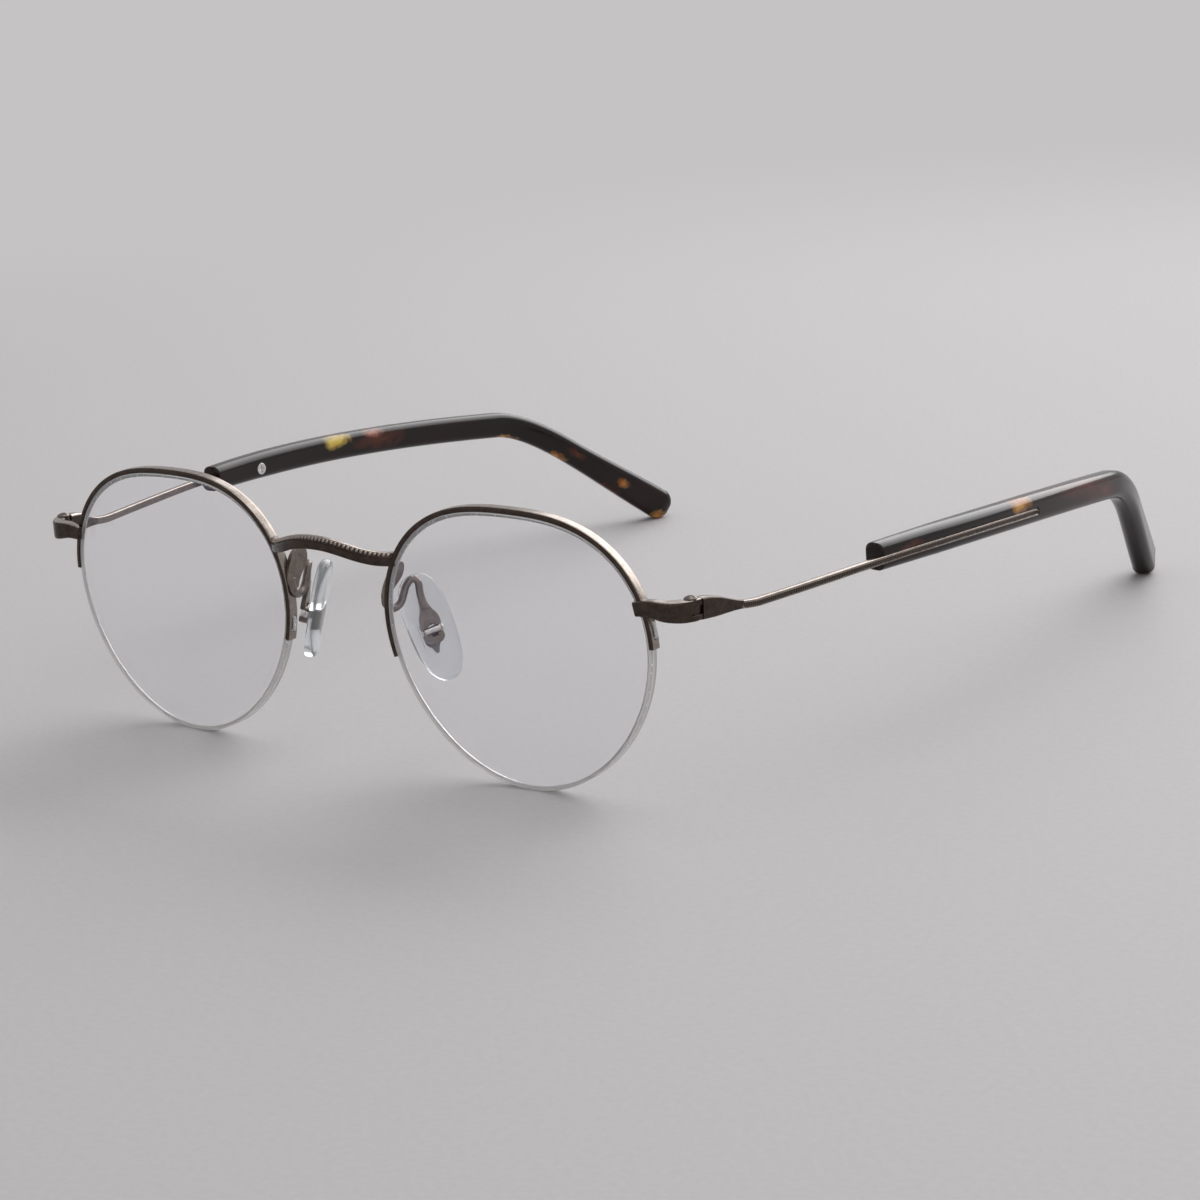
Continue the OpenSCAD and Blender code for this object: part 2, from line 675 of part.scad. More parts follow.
module pad_screw() {
    head_h = 0.35;
    color([0.80, 0.79, 0.77]) pad_frame() rotate([0, 90, 0]) {
        translate([0, 0, -box_w / 2 - head_h + 0.1]) cylinder(h = box_w + head_h + 0.1, r = pad_pin_r, $fn = 32);
        translate([0, 0, -box_w / 2 - head_h]) cylinder(h = head_h - seat_gap, r = 0.6, $fn = 32);
    }
}

// Arm wire from the side of the rim, back round its bend and down to the pad box
arm_foot = beside_lens(176, rim_outer, groove_y);
arm_end = at_pad(0, 3.4, -0.75);
arm_points = [
    arm_foot + [0.05, 0.4, 3.95],
    arm_foot + [-0.3, 0, 2.85],
    arm_foot + [-0.35, 0.15, 2.05],
    arm_foot + [-0.05, 0.95, 1.4],
    arm_foot + [0.35, 2.25, 1.3],
    arm_foot + [0.62, 3.25, 1.85],
    arm_foot + [0.66, 3.95, 2.9],
    arm_foot + [0.78, 4.6, 4.2],
    arm_foot + [1.25, 5.5, 5.05],
    arm_foot + [1.95, 5.95, 4.45],
    at_pad(0, 5.5, -0.85),
    arm_end
];
arm_path = curve(arm_points, 3);
arm_rings = [for (i = [0:len(arm_path) - 1]) ring(arm_path, i, round_section(arm_d, 10), [1, 0.2, 0.1])];

// Blade brazed along the nose side of the rim, drawn as depth and height over the arm's foot
blade_back = [
    [1.5, 2.05], [2.45, 1.85], [2.85, 1], [2.65, -0.1], [2.05, -0.9], [1.2, -1.7], [0.4, -2.5],
    [-0.2, -3.2], [-0.6, -3.9]
];
blade_front = [[-1.75, -3.9], [-2.1, -3], [-1.95, -1.8], [-1.5, -0.6], [-0.75, 0.6], [0.35, 1.6]];
module blade() {
    translate(arm_foot + [0.45, 1.5, 6.35]) rotate([0, 11, 0]) rotate([90, 0, 90])
        translate([0, 0, -blade_t / 2]) linear_extrude(blade_t)
            polygon(curve(concat(blade_back, blade_front, [blade_back[0]]), 3));
}

// Flat end of the arm, widening from the wire to the box
module paddle() {
    side = [[0.6, 4.9], [0.66, 4], [0.95, 3.1], [1.4, 2.3], [box_w / 2 + 0.15, 1.6], [box_w / 2 + 0.15, 0.7]];
    polygon(concat(curve(side, 3), [for (q = curve([for (i = [len(side) - 1:-1:0]) side[i]], 3)) [-q[0], q[1]]]));
}

// Flat end of the arm with the box that holds the tab of the pad, drawn in the pad's own frame
module pad_box() {
    slot = tab_w + 2 * run_gap;
    difference() {
        union() {
            translate([0, 0, -0.95]) linear_extrude(1.75)
                polygon([[-box_w / 2, box_top], [box_w / 2, box_top], [box_w / 2, box_cut - box_low],
                    [box_w / 2 - box_cut, -box_low], [box_cut - box_w / 2, -box_low],
                    [-box_w / 2, box_cut - box_low]]);
            translate([0, 0, -0.95]) linear_extrude(0.75) paddle();
        }
        translate([-slot / 2, -1.05, -0.75 - rock_gap / 2]) cube([slot, 2.1, 3]);
        rotate([0, 90, 0]) translate([0, 0, -4]) cylinder(h = 8, r = pad_pin_r + run_gap / 2, $fn = 32);
    }
}

module pad_arm() {
    color([0.42, 0.37, 0.34]) difference() {
        union() {
            skin(arm_rings);
            blade();
            pad_frame() pad_box();
        }
        rim_space();
    }
}

// Standing place: the lens bottoms and the ear ends touch the table, and the origin is midway back
function stood(p) = [p[0], p[1] * cos(stand_lean) - p[2] * sin(stand_lean),
    p[1] * sin(stand_lean) + p[2] * cos(stand_lean)];
front_y = min([for (r = bridge_rings, p = r) stood(p)[1]]);
back_y = max([for (r = tip_rings, p = r) stood(p)[1]]);

module stand() {
    translate([0, -(front_y + back_y) / 2, -low_z]) rotate([stand_lean, 0, 0]) children();
}

module right() {
    mirror([1, 0, 0]) children();
}

stand() lens();  // lens_left
stand() right() lens();  // lens_right
stand() rim();  // rim_left
stand() right() rim();  // rim_right
stand() rim_liner();  // rim_liner_left
stand() right() rim_liner();  // rim_liner_right
stand() lens_cord();  // lens_cord_left
stand() right() lens_cord();  // lens_cord_right
stand() bridge();
stand() pad_arm();  // pad_arm_left
stand() right() pad_arm();  // pad_arm_right
stand() pad_screw();  // pad_screw_left
stand() right() pad_screw();  // pad_screw_right
stand() endpiece();  // endpiece_left
stand() right() endpiece();  // endpiece_right
stand() hinge_screw();  // hinge_screw_left
stand() right() hinge_screw();  // hinge_screw_right
stand() nose_pad();  // nose_pad_left
stand() right() nose_pad();  // nose_pad_right
stand() pad_core();  // pad_core_left
stand() right() pad_core();  // pad_core_right
stand() temple_bar();  // temple_bar_left
stand() right() temple_bar();  // temple_bar_right
stand() temple_tip();  // temple_tip_left
stand() right() temple_tip();  // temple_tip_right
stand() tip_screw();  // tip_screw_left
stand() right() tip_screw();  // tip_screw_right
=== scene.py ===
# Looks of the round half-rim eyeglasses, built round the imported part
import json
import math
import bmesh
import bpy
import numpy as np
from mathutils import Matrix, Vector

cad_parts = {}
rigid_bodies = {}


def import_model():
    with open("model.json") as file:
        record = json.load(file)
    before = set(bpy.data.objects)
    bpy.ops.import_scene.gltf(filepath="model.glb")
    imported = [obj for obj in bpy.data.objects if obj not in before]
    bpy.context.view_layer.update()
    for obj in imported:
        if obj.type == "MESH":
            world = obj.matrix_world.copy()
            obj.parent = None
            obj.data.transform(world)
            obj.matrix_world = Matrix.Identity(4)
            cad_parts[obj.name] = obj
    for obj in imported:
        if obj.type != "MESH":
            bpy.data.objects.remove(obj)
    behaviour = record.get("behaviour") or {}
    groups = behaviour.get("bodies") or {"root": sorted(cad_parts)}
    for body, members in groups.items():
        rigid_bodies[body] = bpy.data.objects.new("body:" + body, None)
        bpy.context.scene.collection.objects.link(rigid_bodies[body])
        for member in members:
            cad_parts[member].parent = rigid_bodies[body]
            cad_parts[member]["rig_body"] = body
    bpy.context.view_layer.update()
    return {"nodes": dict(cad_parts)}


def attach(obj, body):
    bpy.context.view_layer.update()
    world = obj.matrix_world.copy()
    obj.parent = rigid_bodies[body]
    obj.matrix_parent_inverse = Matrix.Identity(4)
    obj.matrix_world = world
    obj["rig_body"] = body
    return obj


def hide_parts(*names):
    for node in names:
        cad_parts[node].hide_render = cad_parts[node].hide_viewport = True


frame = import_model()
nodes = frame["nodes"]
scene = bpy.context.scene
SIDES = (("left", 1), ("right", -1))
MM = 0.001
UP = np.array([0, 0, 1.0])
BACK = np.array([0, 1.0, 0])

# Millimetres in the frame of the front become metres in the shared frame, where the front leans
LEAN = math.radians(0.8)
ORIGIN_Y, ORIGIN_Z = -70.0922, 21.6848


def turned(p):
    c, s = math.cos(LEAN), math.sin(LEAN)
    return Vector((p[0], p[1] * c - p[2] * s, p[1] * s + p[2] * c))


def stood(p):
    return (turned(p) + Vector((0, ORIGIN_Y, ORIGIN_Z))) * MM


def mirrored(p, side):
    return p[0] * side, p[1], p[2]


# Sizes of the front, in millimetres in its own frame, drawn for the left side
LENS_R, WIDE, SLANT, PEAR, SOFT = 22.45, 1.53, 0.15, 0.875, 0.11
LENS_CX, WRAP = 34.746, math.radians(2.3)
LENS_T, LENS_SPHERE, LENS_BEVEL = 1.9, 260.0, 0.12
GROOVE_W, GROOVE_D, GROOVE_Y = 0.6, 0.65, 0.95
RIM_T, RIM_DEPTH, RIM_IN, CHANNEL = 0.8, 1.8, 0.03, 0.4
RIM_OUT = RIM_IN + RIM_T
RIM_A0, RIM_A1 = 5.2, 189.4
HOLE_FROM, HOLE_STEP, HOLE_R = 1.6, 2, 0.35
CORD_R, CORD_SINK = 0.25, 0.06
BRIDGE_H, BRIDGE_T, BRIDGE_RISE, BRIDGE_BOW, BRIDGE_Z = 2.1, 1.3, 2.4, 4.3, 11.1
BEAD_R, BEAD_STEP, BEAD_IN, BEAD_LOW = 0.3, 0.68, 0.3, 0.38
HINGE = np.array([64.6549, 3.9, 8.0])
HINGE_W, HINGE_H = 2.1, 3.15


def unit(v):
    return v / np.linalg.norm(v)


def smooth01(t):
    t = min(1.0, max(0.0, t))
    return t * t * (3 - 2 * t)


def lens_rad(t):
    return (LENS_R + WIDE * math.cos(2 * t) - SLANT * math.sin(2 * t) + PEAR * math.sin(3 * t)
            - SOFT * math.cos(4 * t))


# Point of the lens outline at an angle, moved outwards by off
def edge(deg, off):
    t = math.radians(deg)
    c, s = math.cos(t), math.sin(t)
    r = lens_rad(t)
    slope = (-2 * WIDE * math.sin(2 * t) - 2 * SLANT * math.cos(2 * t)
             + 3 * PEAR * math.cos(3 * t) + 4 * SOFT * math.sin(4 * t))
    return r * np.array([c, s]) + off * unit(np.array([slope * s + r * c, r * s - slope * c]))


# Across, depth and height at the lens, which is turned by the wrap of the front
def beside_lens(u, y, v):
    c, s = math.cos(WRAP), math.sin(WRAP)
    return np.array([LENS_CX + u * c - y * s, u * s + y * c, v])


def beside(deg, off, y):
    u, v = edge(deg, off)
    return beside_lens(u, y, v)


def along(deg, d):
    return deg + math.degrees(d / lens_rad(math.radians(deg)))


# Cord holes: the last and the next one at the temple end of the rim, then at its nose end
HOLE_T, HOLE_N = along(RIM_A0, HOLE_FROM), along(RIM_A1, -HOLE_FROM)
HOLES = (HOLE_T, along(HOLE_T, HOLE_STEP), HOLE_N, along(HOLE_N, -HOLE_STEP))


# Box section with rounded corners, each in n steps
def soft_box(w, h, r, n):
    out = []
    for q in range(4):
        x = (w / 2 - r) * (1 if q in (0, 3) else -1)
        y = (h / 2 - r) * (1 if q < 2 else -1)
        for j in range(n + 1):
            a = math.radians(90 * q + 90 * j / n)
            out.append((x + r * math.cos(a), y + r * math.sin(a)))
    return out


def circle(r, n):
    turns = (2 * math.pi * j / n for j in range(n))
    return [(r * math.cos(a), r * math.sin(a)) for a in turns]


# The two directions across a path that runs along t
def across(t, up=UP):
    v = unit(up - up.dot(t) * t)
    return np.cross(t, v), v


def rings_along(path, sections, up=UP):
    rings = []
    for i, c in enumerate(path):
        l, v = across(unit(path[min(i + 1, len(path) - 1)] - path[max(i - 1, 0)]), up)
        rings.append([c + l * x + v * y for x, y in sections[i]])
    return rings


def skin(rings):
    n, last = len(rings[0]), len(rings) - 1
    faces = []
    for i in range(last):
        for j in range(n):
            k = (j + 1) % n
            faces.append((i * n + j, i * n + k, (i + 1) * n + k, (i + 1) * n + j))
    faces.append(tuple(range(n - 1, -1, -1)))
    faces.append(tuple(last * n + j for j in range(n)))
    return [p for ring in rings for p in ring], faces


def tube(path, r, n, up=UP):
    return skin(rings_along(path, [circle(r, n)] * len(path), up))


# Temple bars and tips, placed by the distance b behind the hinge
TEMPLE_REACH, TEMPLE_BOW, BOW_SHARE = 114, 7.2, 0.54
ROOT_LEN, ROOT_OUT, ROOT_OUT_LEN, ROOT_DROP, ROOT_DROP_LEN = 8.5, 0.25, 6, 1.85, 13
TEMPLE_FALL, FALL_FROM, FALL_LEN, FALL_POWER = 5.6, 30, TEMPLE_REACH - 40, 1.8
BAR_START, BAR_H, BAR_T, BAR_ROUND, MILLED_D = 1.09, 1.2, 1.0, 0.6, 0.17
TIP_FRONT, TIP_W, TIP_H, TIP_THIN, TIP_CAP, TIP_LIFT = 38, 3.9, 4.5, 0.94, 2.9, 0.35
SLOT_LEN, SLOT_GAP, SLOT_ROUND = 40.5, 0.05, 0.6
BEND_LEN, BEND_OUT = 6.3, 1.8
TAIL_BACK, TAIL_IN, TAIL_H, TAIL_DROP = 24.3, 11.2, 5.7, 20.2505
TIP_OFF = TIP_W / 2 - BAR_T / 2 - SLOT_GAP
TIP_SCREW, TIP_BORE_R = 11, 1.04


def bar_centre(b):
    out = TEMPLE_BOW * math.sin(math.radians(90 * b / (BOW_SHARE * TEMPLE_REACH)))
    out += ROOT_OUT * (1 - min(1, b / ROOT_OUT_LEN))
    drop = ROOT_DROP * smooth01(b / ROOT_DROP_LEN)
    drop += TEMPLE_FALL * max(0, (b - FALL_FROM) / FALL_LEN) ** FALL_POWER
    return HINGE + np.array([out, b, -drop])


def tip_station(b):
    return bar_centre(b) + np.array([-TIP_OFF, 0, TIP_LIFT])


# Middle line of a tip, with its width and height at each station
def tip_path():
    last = TEMPLE_REACH - BEND_LEN
    start = tip_station(last)
    corner = start + unit(start - tip_station(last - 1)) * BEND_LEN
    end = corner + np.array([-TAIL_IN, TAIL_BACK, -TAIL_DROP])
    t = unit(end - corner)
    out = corner + t * BEND_OUT * BEND_LEN
    path, sizes = [], []
    for i in range(61):
        k = TIP_THIN + (1 - TIP_THIN) * min(1, i / 12)
        path.append(tip_station(TIP_FRONT + (last - TIP_FRONT) * i / 60))
        sizes.append((TIP_W * k, TIP_H * k))
    for i in range(1, 25):
        k = i / 24
        path.append((1 - k) ** 2 * start + 2 * k * (1 - k) * corner + k * k * out)
        sizes.append((TIP_W, TIP_H))
    for i in range(1, 16):
        path.append(out + (end - out) * i / 15)
        sizes.append((TIP_W, TIP_H + (TAIL_H - TIP_H) * smooth01(i / 15)))
    for q in (0.15, 0.3, 0.45, 0.58, 0.7, 0.8, 0.88, 0.94, 0.975, 1):
        k = math.sqrt(1.05 - q * q) if q < 1 else 0.18
        path.append(end + t * q * TIP_CAP)
        sizes.append((TIP_W * k, TAIL_H * k))
    return path, sizes


TIP_PATH, TIP_SIZES = tip_path()

# Nose pads, in a frame of their own: across the pad, along it and out of its face
PAD_TILT, PAD_SPLAY, PAD_TURN = map(math.radians, (16.5, 31, 11))
PAD_C = np.array([13.35, 6.3, -1.3])
PAD_LEVEL = np.array([-math.sin(PAD_SPLAY), -math.cos(PAD_SPLAY), 0])
PAD_OUT = np.array([-math.cos(PAD_SPLAY), math.sin(PAD_SPLAY), 0])
PAD_FACE = PAD_OUT * math.cos(PAD_TILT) - UP * math.sin(PAD_TILT)
PAD_RISE = np.cross(PAD_FACE, PAD_LEVEL)
PAD_SIDE = PAD_LEVEL * math.cos(PAD_TURN) - PAD_RISE * math.sin(PAD_TURN)
PAD_LONG = PAD_RISE * math.cos(PAD_TURN) + PAD_LEVEL * math.sin(PAD_TURN)
PAD_LEN, PAD_W, PAD_T, PAD_BACK = 16.8, 7.2, 2.0, 0.65
PAD_POWER, PAD_TAPER, PAD_SHIFT_S, PAD_SHIFT_T = 2.6, 0.07, -0.45, 0.4
POCKET_HALF, POCKET_LOW, POCKET_TOP = 2.8 / 2 + 0.35, -2.35, 1.25


def at_pad(s, t, n):
    return PAD_C + PAD_SIDE * s + PAD_LONG * t + PAD_FACE * n


# Point of the pad outline at an angle, moved inwards by d
def pad_edge(deg, d):
    h, w = PAD_LEN / 2 - d, PAD_W / 2 - d
    c, k = math.cos(math.radians(deg)), math.sin(math.radians(deg))
    t = h * math.copysign(abs(k) ** (2 / PAD_POWER), k)
    s = w * math.copysign(abs(c) ** (2 / PAD_POWER), c) * (1 + PAD_TAPER * t / h)
    return s + PAD_SHIFT_S, t + PAD_SHIFT_T


# Materials, all made of nodes in the object's own coordinates
class Mat:
    def __init__(self, name):
        self.mat = bpy.data.materials.new(name)
        self.mat.use_nodes = True
        self.tree = self.mat.node_tree
        self.bsdf = self.tree.nodes["Principled BSDF"]

    def node(self, kind, **values):
        n = self.tree.nodes.new(kind)
        for key, value in values.items():
            setattr(n, key, value)
        return n

    def feed(self, socket, value):
        if isinstance(value, bpy.types.NodeSocket):
            self.tree.links.new(value, socket)
        else:
            socket.default_value = (*value, 1) if socket.type == "RGBA" else value

    def set(self, **values):
        for key, value in values.items():
            self.feed(self.bsdf.inputs[key.replace("_", " ")], value)

    def coords(self, scale=(1, 1, 1)):
        m = self.node("ShaderNodeMapping")
        self.feed(m.inputs["Vector"], self.node("ShaderNodeTexCoord").outputs["Object"])
        self.feed(m.inputs["Scale"], scale)
        return m.outputs["Vector"]

    def noise(self, vector, scale, detail, rough=0.5, distort=0.0, out="Fac"):
        n = self.node("ShaderNodeTexNoise")
        for key, value in (("Vector", vector), ("Scale", scale), ("Detail", detail),
                           ("Roughness", rough), ("Distortion", distort)):
            self.feed(n.inputs[key], value)
        return n.outputs[out]

    def vector(self, operation, *inputs, out="Vector"):
        n = self.node("ShaderNodeVectorMath", operation=operation)
        for socket, value in zip(n.inputs, inputs):
            self.feed(socket, value)
        return n.outputs[out]

    def ramp(self, fac, stops, mode="LINEAR"):
        r = self.node("ShaderNodeValToRGB")
        r.color_ramp.interpolation = mode
        e = r.color_ramp.elements
        while len(e) < len(stops):
            e.new(0.5)
        for i, (p, c) in enumerate(stops):
            e[i].position = p
            e[i].color = (c, c, c, 1) if isinstance(c, (int, float)) else (*c, 1)
        self.feed(r.inputs["Fac"], fac)
        return r.outputs["Color"]

    def bump(self, height, strength, distance):
        b = self.node("ShaderNodeBump")
        for key, value in (("Height", height), ("Strength", strength), ("Distance", distance)):
            self.feed(b.inputs[key], value)
        self.set(Normal=b.outputs["Normal"])

    def mix(self, fac, a, b):
        m = self.node("ShaderNodeMix", data_type="RGBA")
        for i, value in ((0, fac), (6, a), (7, b)):
            self.feed(m.inputs[i], value)
        return m.outputs[2]


# Metal: a cloud in its colour, and fine wear in its roughness
WEAR = 0.06


def brushed(name, dark, light, rough):
    m = Mat(name)
    v = m.coords()
    fine = m.noise(v, 9000, 2, 0.6)
    m.set(Metallic=1.0, Base_Color=m.ramp(m.noise(v, 900, 4, 0.6), [(0.3, dark), (0.7, light)]),
          Roughness=m.ramp(fine, [(0.25, rough - WEAR), (0.75, rough + WEAR)]))
    m.bump(fine, 0.12, 0.00003)
    return m.mat


# Milled line along the bars: fine cross cuts, bumped and painted as darker bands, in a groove whose
# colour is painted shade, darker than the bar
def milled():
    m = Mat("milled_groove")
    v = m.coords()
    wave = m.node("ShaderNodeTexWave", wave_type="BANDS", bands_direction="Y", wave_profile="SIN")
    m.feed(wave.inputs["Scale"], 900)
    m.feed(wave.inputs["Vector"], v)
    cuts = wave.outputs["Fac"]
    # The groove's colour and its cross bands are painted shade, darker than the bar around them
    m.set(Metallic=1.0, Roughness=m.ramp(m.noise(v, 5000, 2), [(0.3, 0.28), (0.7, 0.4)]),
          Base_Color=m.ramp(cuts, [(0.3, (0.03, 0.022, 0.018)), (0.75, (0.13, 0.105, 0.09))]))
    m.bump(cuts, 0.6, 0.00005)
    return m.mat


# Plain materials: one noise goes from the first to the second colour and roughness
def clouded(name, noise, colours, roughs, stops=(0.3, 0.7), **values):
    m = Mat(name)
    f = m.noise(m.coords(), *noise)
    m.set(Base_Color=m.ramp(f, list(zip(stops, colours))),
          Roughness=m.ramp(f, list(zip(stops, roughs))), **values)
    return m.mat


METAL = brushed("dark_bronze", (0.05, 0.037, 0.03), (0.082, 0.063, 0.052), 0.26)
# The second bronze is a lighter copy of the first: a painted highlight put on the upper faces and
# edges of the front and temples, and on the bridge beads
HIGHLIGHT_BRONZE = brushed("painted_highlight_bronze", (0.26, 0.225, 0.2), (0.37, 0.325, 0.29), 0.24)
BAR_METAL = brushed("light_bronze", (0.15, 0.125, 0.108), (0.22, 0.185, 0.16), 0.24)
ARM_METAL = brushed("arm_bronze", (0.17, 0.145, 0.128), (0.25, 0.215, 0.19), 0.3)
SCREW_DARK = brushed("hinge_screw_bronze", (0.15, 0.125, 0.11), (0.21, 0.175, 0.155), 0.24)
SCREW = brushed("screw_steel", (0.66, 0.64, 0.62), (0.78, 0.76, 0.74), 0.2)
MILLED = milled()
NYLON = clouded("clear_nylon", (2500, 2), ((0.87, 0.88, 0.89), (0.95, 0.955, 0.96)), (0.16, 0.3),
                Transmission_Weight=0.45, IOR=1.5)
LENS = clouded("clear_lens", (60, 2), ((0.975, 0.97, 0.99), (0.96, 0.958, 0.98)), (0.0, 0.01),
               Transmission_Weight=1.0, IOR=1.5, Specular_Tint=(0.8, 0.72, 1.0))
LENS_EDGE = clouded("ground_lens_edge", (5000, 3, 0.6), ((0.96, 0.945, 0.92), (1.0, 0.985, 0.96)),
                    (0.14, 0.24), (0.25, 0.75), Transmission_Weight=0.4, IOR=1.5)
SILICONE = clouded("clear_silicone", (700, 2), ((0.93, 0.965, 0.985), (0.96, 0.985, 1.0)),
                   (0.1, 0.2), Transmission_Weight=0.85, IOR=1.41)
INSERT = clouded("pad_insert", (1500, 3), ((0.12, 0.11, 0.105), (0.19, 0.175, 0.165)),
                 (0.25, 0.4), Metallic=0.85)

# Patches in the acetate, by side and by face of the tip: distance along the tip, place as a
# share of its height, size along and up, and tint
PATCHES = {
    (1, 1): ((35.5, 0.42, 3.4, 1.5, "amber"), (6.5, 0.1, 2.6, 0.8, "brown"),
             (57, 0.3, 8.5, 1.7, "brown"), (64, 0.0, 5.5, 1.5, "brown"),
             (110, -0.3, 2.2, 2.2, "brown")),
    (-1, 1): ((30.3, 0.32, 3.3, 1.3, "yellow"), (39.6, 0.38, 2.4, 0.9, "rose"),
              (41, 0.05, 6.5, 1.5, "brown"), (72, -0.5, 2.6, 0.8, "amber"),
              (85.5, -0.5, 2.4, 1.0, "amber"), (89, 0.05, 2.0, 0.9, "brown"),
              (100.5, 0.0, 1.7, 0.8, "amber"), (99, -0.5, 2.4, 1.1, "brown"),
              (111.5, -0.45, 1.8, 1.4, "amber")),
    (1, -1): ((24, 0.25, 3.2, 1.1, "amber"), (29, -0.3, 5.5, 1.3, "brown"),
              (52, -0.1, 6.5, 1.5, "brown"), (76, 0.3, 2.4, 1.0, "amber"),
              (93, -0.2, 3.2, 1.2, "brown"), (103, 0.25, 2.0, 1.0, "amber")),
    (-1, -1): ((18, -0.3, 5.0, 1.2, "brown"), (46, 0.35, 3.0, 1.2, "amber"),
               (58, 0.0, 7.5, 1.6, "brown"), (80, -0.3, 2.6, 1.1, "amber"),
               (97, 0.1, 3.6, 1.4, "brown"), (108, 0.3, 1.8, 0.9, "amber")),
}
TINTS = {"amber": ((0.36, 0.11, 0.015), (0.66, 0.34, 0.09)),
         "yellow": ((0.5, 0.27, 0.03), (0.75, 0.56, 0.12)),
         "rose": ((0.2, 0.06, 0.04), (0.42, 0.18, 0.13)),
         "brown": ((0.05, 0.012, 0.007), (0.12, 0.03, 0.014))}
PATCH_DEPTH, PATCH_SIZE = 0.0024, 0.00125
BROWN_STOPS = [(0.15, 0.9), (0.5, 0.5), (1.0, 0.0)]
LIGHT_STOPS = [(0.3, 0.95), (0.62, 0.45), (1.0, 0.0)]


# Place of a patch on the tip, and the direction in which the tip runs there
def patch_place(side, face, arc, share):
    done = 0.0
    for i in range(len(TIP_PATH) - 1):
        step = float(np.linalg.norm(TIP_PATH[i + 1] - TIP_PATH[i]))
        if done + step >= arc:
            break
        done += step
    t = unit(TIP_PATH[i + 1] - TIP_PATH[i])
    l, v = across(t)
    w, h = TIP_SIZES[i]
    q = TIP_PATH[i] + t * (arc - done) + v * share * h + l * side * face * w / 2
    return stood(mirrored(q, side)), turned(mirrored(t, side))


# Dark tortoise acetate: near black brown, with soft amber and red-brown patches in its depth
def acetate():
    m = Mat("tortoise_acetate")
    plain = m.node("ShaderNodeTexCoord").outputs["Object"]
    warped = plain
    for scale, amount in ((230, (0.0022, 0.0045, 0.0022)), (900, (0.0009, 0.0013, 0.0009))):
        off = m.vector("SUBTRACT", m.noise(plain, scale, 2, out="Color"), (0.5, 0.5, 0.5))
        warped = m.vector("MULTIPLY_ADD", off, amount, warped)
    v = m.coords((1, 0.4, 1))
    fine, cloud = m.noise(v, 1400, 3, 0.6), m.noise(v, 70, 2, 0.5, 0.6)
    base = m.mix(m.ramp(fine, [(0.35, 0.0), (0.75, 1.0)]),
                 (0.006, 0.0035, 0.003), (0.014, 0.0065, 0.005))
    base = m.mix(m.ramp(cloud, [(0.52, 0.0), (0.75, 0.7)]), base, (0.036, 0.01, 0.006))
    depth = m.ramp(m.noise(m.coords((1, 0.5, 1)), 420, 2), [(0.32, 0.0), (0.62, 1.0)])
    tints = {kind: m.mix(depth, dark, light) for kind, (dark, light) in TINTS.items()}
    for (side, face), patches in PATCHES.items():
        for arc, share, long_r, high_r, kind in patches:
            place, way = patch_place(side, face, arc, share)
            tilt = math.atan2(way.z, math.hypot(way.x, way.y))
            near = m.node("ShaderNodeMapping", vector_type="TEXTURE")
            for key, value in (("Vector", warped), ("Location", place),
                               ("Rotation", (tilt, 0, math.atan2(-way.x, way.y))),
                               ("Scale", (PATCH_DEPTH, long_r * PATCH_SIZE, high_r * PATCH_SIZE))):
                m.feed(near.inputs[key], value)
            away = m.vector("LENGTH", near.outputs["Vector"], out="Value")
            stops = BROWN_STOPS if kind == "brown" else LIGHT_STOPS
            base = m.mix(m.ramp(away, stops, "EASE"), base, tints[kind])
    m.set(Base_Color=base, Roughness=m.ramp(fine, [(0.3, 0.11), (0.7, 0.18)]),
          IOR=1.46, Specular_IOR_Level=0.4)
    m.bump(m.noise(m.coords(), 220, 2), 0.05, 0.0002)
    return m.mat


ACETATE = acetate()


# Making pieces
def added(name, data):
    obj = bpy.data.objects.new(name, data)
    scene.collection.objects.link(obj)
    return obj


def outward(name, verts, faces, side):
    mesh = bpy.data.meshes.new(name)
    mesh.from_pydata([stood(mirrored(p, side)) for p in verts], [], faces)
    bm = bmesh.new()
    bm.from_mesh(mesh)
    bmesh.ops.recalc_face_normals(bm, faces=bm.faces)
    bm.to_mesh(mesh)
    bm.free()
    return mesh


def shade(obj, angle):
    mesh = obj.data
    mesh.polygons.foreach_set("use_smooth", [True] * len(mesh.polygons))
    mesh.set_sharp_from_angle(angle=math.radians(angle))


# Each face gets its place in the piece's list of materials
def paint(obj, kinds):
    obj.data.polygons.foreach_set("material_index", kinds)


def new_piece(name, verts, faces, side, body, materials, angle=40):
    obj = added(name, outward(name, verts, faces, side))
    for m in materials:
        obj.data.materials.append(m)
    shade(obj, angle)
    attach(obj, body)
    return obj


def modify(obj, kind, **values):
    m = obj.modifiers.new(kind.lower(), kind)
    for key, value in values.items():
        setattr(m, key, value)


def bake(obj):
    dg = bpy.context.evaluated_depsgraph_get()
    old = obj.data
    mesh = bpy.data.meshes.new_from_object(obj.evaluated_get(dg))
    obj.modifiers.clear()
    obj.data = mesh
    bpy.data.meshes.remove(old)


def cutter(verts, faces, side):
    return added("cutter", outward("cutter", verts, faces, side))


BOX_FACES = [(0, 1, 2, 3), (7, 6, 5, 4), (0, 4, 5, 1), (1, 5, 6, 2), (2, 6, 7, 3), (3, 7, 4, 0)]


# A cutter between two limits on each axis of a frame
def box_cutter(place, first, second, third, side):
    (a, b), (c, d) = first, second
    corners = [place(x, y, z) for z in third for x, y in ((a, c), (b, c), (b, d), (a, d))]
    return cutter(corners, BOX_FACES, side)


def cut(obj, cutters, angle, operation="DIFFERENCE"):
    for c in cutters:
        modify(obj, "BOOLEAN", operation=operation, solver="MANIFOLD", object=c)
    bake(obj)
    for c in cutters:
        bpy.data.objects.remove(c)
    shade(obj, angle)


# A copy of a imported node's mesh with its seams welded, ready for rounding
WELD, FLAT = 2e-6, math.radians(0.8)


